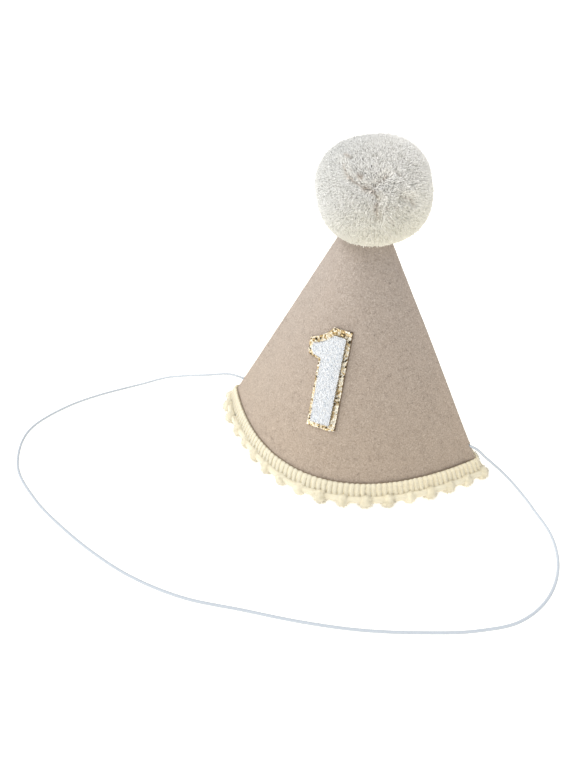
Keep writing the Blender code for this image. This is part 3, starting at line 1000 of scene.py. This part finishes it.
def makeBraid(its, finish):
    rng = random.Random(its["seed"])
    base = hat["rim"] - its["drop"]
    ribs = its["balls"] * its["ribsPerBall"]
    pitch = rimLength / ribs
    bm = bmesh.new()
    thick = its["bandThickness"]
    spot = (pitch / 2, hat["gap"] + thick / 2, its["height"] * its["bandMiddle"])
    bar = Matrix.Diagonal((pitch, thick, its["height"] * its["bandTall"], 1))
    bmesh.ops.create_cube(bm, size=1, matrix=Matrix.Translation(spot) @ bar)
    ends = [face for face in bm.faces if abs(face.normal.x) > 0.9]
    bmesh.ops.delete(bm, geom=ends, context="FACES")
    cell = meshOf(bm, "bandCell")
    band = bmesh.new()
    loops = bmesh.new()
    kinds = [braidRib(its, rng) for _ in range(its["ribKinds"])]
    for rib in range(ribs):
        stamp(band, cell, Matrix.Translation((rib * pitch, 0, 0)))
        tilt, out = [rng.gauss(0, stray) for stray in its["ribStray"]]
        lean = Matrix.Rotation(tilt, 4, "Y")
        spot = Matrix.Translation(((rib + 0.5) * pitch, out, 0))
        stamp(loops, rng.choice(kinds), spot @ lean)
    wrapRound(band, base)
    wrapRound(loops, base)
    bmesh.ops.remove_doubles(band, verts=band.verts[:], dist=1e-6)
    # the tape shows in the slots between the ribs
    tape = plainFinish("trimTape", (0.95, 0.1), 1600, its["tapeColours"])
    show("trimBand", band, tape, stoodFor=["pompom_trim"])
    show("trimRibs", loops, finish)
    path = []
    for step in range(ribs * 4):
        swing = cos(tau * step / 4)
        out = its["ribOut"] + its["plySpread"] * its["threadWave"] * (0.5 - swing)
        path.append(rimPoint(step / ribs / 4, base + its["threadHeight"] * its["height"], out))
    show("trimThreads", tube(path + [path[0]], its["threadRadius"], 6), finish)
    # painted shadow: a dark thread along the braid's top edge for the shadow line between felt and braid
    top = base + its["height"] - its["shadowLineDrop"]
    path = [rimPoint(step / ribs, top, its["seamThread"] + 0.0001) for step in range(ribs)]
    mesh = tube(path + [path[0]], its["seamThread"], 6)
    show("trimShadowLine", mesh, threadFinish("trimShadowThread", its["shadowLineColours"]))


def littleBall(its, rng):
    bm = bmesh.new()
    radius = its["ballRadius"]
    bmesh.ops.create_icosphere(bm, subdivisions=3, radius=radius * its["ballCore"])
    shift = Vector([rng.uniform(0, 50) for _ in range(3)])
    for vert in bm.verts:
        lump = noise.noise(vert.co * its["ballLumpScale"] + shift)
        vert.co *= 1 + its["ballLumps"] * lump
    hair = needles(rng, 1, radius * its["hairShare"], its["hairRadius"], upright, 0)
    for _ in range(its["ballHairs"]):
        way = scatter(rng, 1).normalized()
        lean = (way + scatter(rng, its["hairLean"])).normalized()
        size = rng.triangular(*its["hairSizes"])
        root = way * radius * its["hairRoot"]
        stamp(bm, hair, placed(root, lean, rng.uniform(0, 6), size))
    return meshOf(bm, "littleBall")


def flareAt(turn, its):
    return its["flare"] * exp(-(((turn - its["flareTurn"]) / its["flareWidth"]) ** 2))


def webSpot(turn, its):
    return rimPoint(turn, its["webHeight"], its["webOut"] + flareAt(turn, its) * 0.5)


def makeBalls(its, finish):
    rng = random.Random(its["seed"] + 1)
    kinds = [littleBall(its, rng) for _ in range(its["ballKinds"])]
    stray = needles(rng, 1, its["strayLength"], its["hairRadius"], upright, 0)
    bm = bmesh.new()
    steps = its["balls"] * 8
    web = [webSpot(step / steps, its) for step in range(steps)]
    sweep(bm, web + [web[0]], its["webRadius"], 10)
    bmesh.ops.recalc_face_normals(bm, faces=bm.faces[:])
    noise.seed_set(its["seed"])  # noise_vector starts from the clock otherwise
    for vert in bm.verts:
        vert.co += noise.noise_vector(vert.co * its["webLumpScale"]) * its["webLumps"]
    for _ in range(its["webHairs"]):
        root = webSpot(rng.random(), its)
        way = scatter(rng, 1).normalized()
        root += way * its["webRadius"] * its["webHairRoot"]
        stamp(bm, stray, placed(root, way, 0, rng.uniform(*its["webHairSizes"])))
    for ball in range(its["balls"]):
        turn = ball / its["balls"]
        flare = flareAt(turn, its)
        middle = rimPoint(turn, its["ballHeight"], its["ballOut"] + flare)
        way = scatter(rng, 1).normalized()
        size = rng.uniform(*its["ballSizes"]) * its["tucked"].get(ball, 1)
        stamp(bm, rng.choice(kinds), placed(middle, way, rng.uniform(0, tau), size))
        for _ in range(its["strayHairs"]):
            where = turn + rng.uniform(-0.6, 0.6) / its["balls"]
            out = rng.uniform(*its["strayOut"]) + flare * 0.6
            root = rimPoint(where, hat["rim"] - its["drop"] + its["strayUp"], out)
            sway = [rng.gauss(0, its["straySway"]) for _ in range(2)]
            down = Vector((*sway, -1)).normalized()
            stamp(bm, stray, placed(root, down, 0, rng.uniform(*its["straySizes"])))
    for vert in bm.verts:
        vert.co.z = max(vert.co.z, 0.00005)  # above the floor
    show("trimBalls", bm, finish)


makeBraid(trim, trimFinish("trimBraid", trim["ribColours"], trim["ribShaded"]))
makeBalls(trim, trimFinish("trimYarn", trim["ballColours"], trim["ballShaded"]))

print("numeral patch")
patch = {
    "seed": 41,
    # the corners of the numeral and of its backing: across, and down the front from the cone's point
    "numeral": (
        (-0.0142, 0.0843), (-0.0093, 0.082), (-0.0063, 0.0801), (-0.0036, 0.0777),
        (-0.0017, 0.0761), (0.0045, 0.0769), (0.0042, 0.1266), (-0.0072, 0.1269),
        (-0.0077, 0.0903), (-0.0108, 0.0901), (-0.0134, 0.0892), (-0.0145, 0.0876),
    ),
    "border": (
        (-0.0176, 0.0829), (-0.0123, 0.0801), (-0.0091, 0.0779), (-0.0062, 0.0755),
        (-0.0039, 0.0725), (0.0062, 0.0733), (0.007, 0.13), (-0.0097, 0.1303),
        (-0.0096, 0.0922), (-0.0163, 0.092), (-0.0177, 0.09),
    ),
    "sheetThickness": 0.0012,
    "shadowLayerThickness": 0.0005,  # a brown layer under the gold, which shows at its right edge as a painted shadow
    "shadowLayerShift": 0.0004,
    "shadowLayerTones": ((0.13, 0.085, 0.05), (0.24, 0.165, 0.1)),
    # the backing's dark brown is partly its own colour and partly painted shadow: its side shows as a
    # dark line beside the numeral
    "backingThickness": 0.002,
    "backingShadeTones": ((0.12, 0.088, 0.045), (0.26, 0.2, 0.115)),
    "plateStep": 0.002,
    "faceStep": 0.0012,
    "pileInset": 0.0004,
    "pileBase": 0.0001,
    "crumple": 0.00045,
    "crumpleStep": 0.00085,
    "flakes": 900,
    "highlightFrom": 0.0042,  # painted highlight: the gold is brightest along its right edge
    "highlightTo": 0.0058,
    "flakeRadius": 0.00055,
    "flakeLean": 0.32,
    "flakeSizes": (0.5, 1.2),
    "loopPitch": 0.00095,
    "loopRadius": 0.00048,
    "loopYarn": 0.00026,
    "loopKinds": 6,
    "loopSteps": 5,
    "loopLean": 0.18,
    "loopSizes": (0.8, 1.15),
    "edgeSizes": (0.8, 1.05),
    "rootDepth": 0.0002,  # how deep the flakes and the loops are set
    "edgeOut": 0.0004,
    "edgeUp": 0.0008,
}


def onFront(across, out, down):  # bends a flat place onto the cone's front
    height = apex - down * frontDrop + out * frontLean
    level = (apex + out / frontLean - height) / rise
    return conePoint(across / (hat["halfWidth"] * level), -1, height, out)


def sidesOf(outline):
    return zip(outline, outline[1:] + outline[:1])


def limitsOf(outline):  # least and most across, least and most down
    return [(min(values), max(values)) for values in zip(*outline)]


def outlineOf(places, margin):  # these corners with every side moved out
    corners = [Vector(place) for place in places]
    outward = []
    for start, end in sidesOf(corners):
        run = (end - start).normalized()
        outward.append(Vector((run.y, -run.x)))
    return [
        corner + (before + after) * margin / (1 + before.dot(after))
        for corner, before, after in zip(corners, outward[-1:] + outward[:-1], outward)
    ]


def inOutline(outline, across, down):
    inside = False
    for (x1, y1), (x2, y2) in sidesOf(outline):
        if (y1 > down) != (y2 > down) and across < x1 + (x2 - x1) * (down - y1) / (y2 - y1):
            inside = not inside
    return inside


def patchPlate(outline, near, far, step):  # a flat plate, cut into small faces
    bm = bmesh.new()
    bm.faces.new([bm.verts.new((across, near, down)) for across, down in outline])
    for vert in extruded(bm, bm.faces[:]):
        vert.co.y = far
    corners = [vert.co.copy() for vert in bm.verts]
    for axis in (0, 2):
        low = min(co[axis] for co in corners)
        high = max(co[axis] for co in corners)
        cuts = ceil((high - low) / step)
        for cut in range(1, cuts):
            spot = Vector()
            spot[axis] = low + (high - low) * cut / cuts
            way = Vector()
            way[axis] = 1
            everything = bm.verts[:] + bm.edges[:] + bm.faces[:]
            bmesh.ops.bisect_plane(bm, geom=everything, plane_co=spot, plane_no=way, dist=1e-6)
    bmesh.ops.triangulate(bm, faces=bm.faces[:])
    return bm


def bendOntoFront(bm):
    for vert in bm.verts:
        vert.co = onFront(*vert.co)
    bmesh.ops.recalc_face_normals(bm, faces=bm.faces[:])
    if bm.calc_volume(signed=True) < 0:
        bmesh.ops.reverse_faces(bm, faces=bm.faces[:])


def glitterFinish(its):
    f = Finish("goldGlitter", 0.35, more={"Metallic": 0.5})
    # painted glints: random cells from near black to near white stand in for the glitter's reflections
    cells = f.node("ShaderNodeTexVoronoi", {}, {"Vector": f.coords, "Scale": 900}, "Color")
    glint = f.node("ShaderNodeSeparateColor", {}, {0: cells})
    across = f.node("ShaderNodeSeparateXYZ", {}, {0: f.coords})
    # painted highlight: the glints are lighter along the right edge and darker elsewhere
    paintedHighlight = f.span(across, its["highlightFrom"], its["highlightTo"])
    f.colour(f.ramp(glint * (paintedHighlight * 0.55 + 0.75), [
        (0.0, (0.05, 0.034, 0.014)),
        (0.09, (0.14, 0.095, 0.04)),
        (0.14, (0.44, 0.3, 0.13)),
        (0.32, (0.78, 0.6, 0.32)),
        (0.46, (0.96, 0.87, 0.68)),
        (0.8, (1.0, 0.96, 0.86)),
    ]))
    f.rough(f.span(glint, -1.0, 3.0))
    return f.material


def chenilleFinish():
    f = Finish("whiteChenille", 0.9, 0.15, 0.3)
    pile = f.noise(1000, 3, 0.7)
    f.colour(f.ramp(pile, [
        (0.34, (0.5, 0.55, 0.63)),
        (0.45, (0.79, 0.815, 0.84)),
        (0.62, (0.875, 0.875, 0.88)),
    ]))
    f.bump(pile, 0.0003, 0.8)
    return f.material


def makeGlitter(its, rng):
    gold = glitterFinish(its)
    outline = outlineOf(its["border"], 0)
    top = hat["gap"] + its["sheetThickness"]
    foot = hat["gap"] + its["shadowLayerThickness"]
    # painted shadow: the brown layer is shifted right, so it shows as a dark line beside the gold
    shifted = [corner + Vector((its["shadowLayerShift"], 0)) for corner in outline]
    bm = patchPlate(shifted, hat["gap"], foot - 0.00002, its["plateStep"])  # just clear of the gold
    bendOntoFront(bm)
    brown = plainFinish("patchShadowLayer", (0.9,), 1800, its["shadowLayerTones"])
    show("patchShadowLayer", bm, brown, smooth=False)
    bm = patchPlate(outline, foot, top, its["crumpleStep"])
    slide = its["crumpleStep"] * 0.2
    for vert in bm.verts:
        if vert.co.y > top - 1e-6:
            vert.co.y += rng.uniform(-1, 0.5) * its["crumple"]
        vert.co.x += rng.uniform(-slide, slide)
        vert.co.z += rng.uniform(-slide, slide)
    bendOntoFront(bm)
    show("patchGlitter", bm, gold, smooth=False, stoodFor=["patch_border"])
    bm = bmesh.new()
    bmesh.ops.create_circle(bm, cap_ends=True, segments=6, radius=its["flakeRadius"])
    thick = its["flakeRadius"] * 0.15
    bmesh.ops.translate(bm, verts=extruded(bm, bm.faces[:]), vec=(0, 0, thick))
    flake = meshOf(bm, "flake", turnOut=True)
    flakes = bmesh.new()
    (left, right), (high, low) = limitsOf(outline)
    seen = outlineOf(its["border"], -its["flakeRadius"] * 0.7)
    hidden = outlineOf(its["numeral"], 0)
    count = 0
    while count < its["flakes"]:
        across = rng.uniform(left, right)
        down = rng.uniform(high, low)
        if inOutline(seen, across, down) and not inOutline(hidden, across, down):
            spot = onFront(across, top - rng.uniform(0, its["rootDepth"]), down)
            way = feltNormal(0, -1, spot.z) + scatter(rng, its["flakeLean"])
            size = rng.uniform(*its["flakeSizes"])
            stamp(flakes, flake, placed(spot, way.normalized(), rng.uniform(0, 6), size))
            count += 1
    show("patchFlakes", flakes, gold, smooth=False)


def yarnLoops(its, rng):
    radius = its["loopRadius"]
    kinds = []
    for _ in range(its["loopKinds"]):
        path = []
        for step in range(its["loopSteps"] + 1):
            t = pi * step / its["loopSteps"]
            side = rng.gauss(0, radius * 0.15)
            path.append(Vector((-radius * cos(t), side, radius * 1.1 * sin(t))))
        kinds.append(tube(path, its["loopYarn"], 5))
    return kinds


def makeChenille(its, rng):  # a brown backing, whose dark side is partly painted shadow along the numeral's edge, a thin white body and little yarn loops all over it
    white = chenilleFinish()
    under = hat["gap"] * 2 + its["sheetThickness"]
    body = under + its["backingThickness"]
    face = body + its["pileBase"]
    outline = outlineOf(its["numeral"], -its["pileInset"])
    bm = patchPlate(outlineOf(its["numeral"], 0), under, body, its["plateStep"])
    bendOntoFront(bm)
    backing = plainFinish("patchShadedBacking", (0.9,), 1800, its["backingShadeTones"])
    show("patchShadedBacking", bm, backing, smooth=False)
    bm = patchPlate(outline, body, face, its["faceStep"])
    bendOntoFront(bm)
    show("patchChenille", bm, white, stoodFor=["patch_numeral"])
    kinds = yarnLoops(its, rng)
    pitch = its["loopPitch"]
    pile = bmesh.new()
    shift = pitch * 0.2
    root = face - its["rootDepth"]
    (left, right), (high, low) = limitsOf(outline)
    for row in range(ceil((low - high) / pitch)):
        for column in range(ceil((right - left) / pitch) + 1):
            across = left + (column + 0.5 * (row % 2)) * pitch + rng.gauss(0, shift)
            down = high + (row + 0.5) * pitch + rng.gauss(0, shift)
            if inOutline(outline, across, down):
                spot = onFront(across, root, down)
                way = feltNormal(0, -1, spot.z) + scatter(rng, its["loopLean"])
                size = rng.uniform(*its["loopSizes"])
                stamp(pile, rng.choice(kinds), placed(spot, way, rng.uniform(0, pi), size))
    for start, end in sidesOf(outline):
        steps = max(1, round((end - start).length / pitch))
        for step in range(steps):
            across, down = start.lerp(end, (step + 0.5) / steps)
            outward = Vector((end.y - start.y, start.x - end.x)).normalized() * its["edgeOut"]
            spot = onFront(across, root, down)
            beyond = onFront(across + outward.x, face + its["edgeUp"], down + outward.y)
            turn = rng.uniform(0, pi)
            size = rng.uniform(*its["edgeSizes"])
            stamp(pile, rng.choice(kinds), placed(spot, (beyond - spot).normalized(), turn, size))
    show("patchPile", pile, white)


patchRng = random.Random(patch["seed"])
makeGlitter(patch, patchRng)
makeChenille(patch, patchRng)
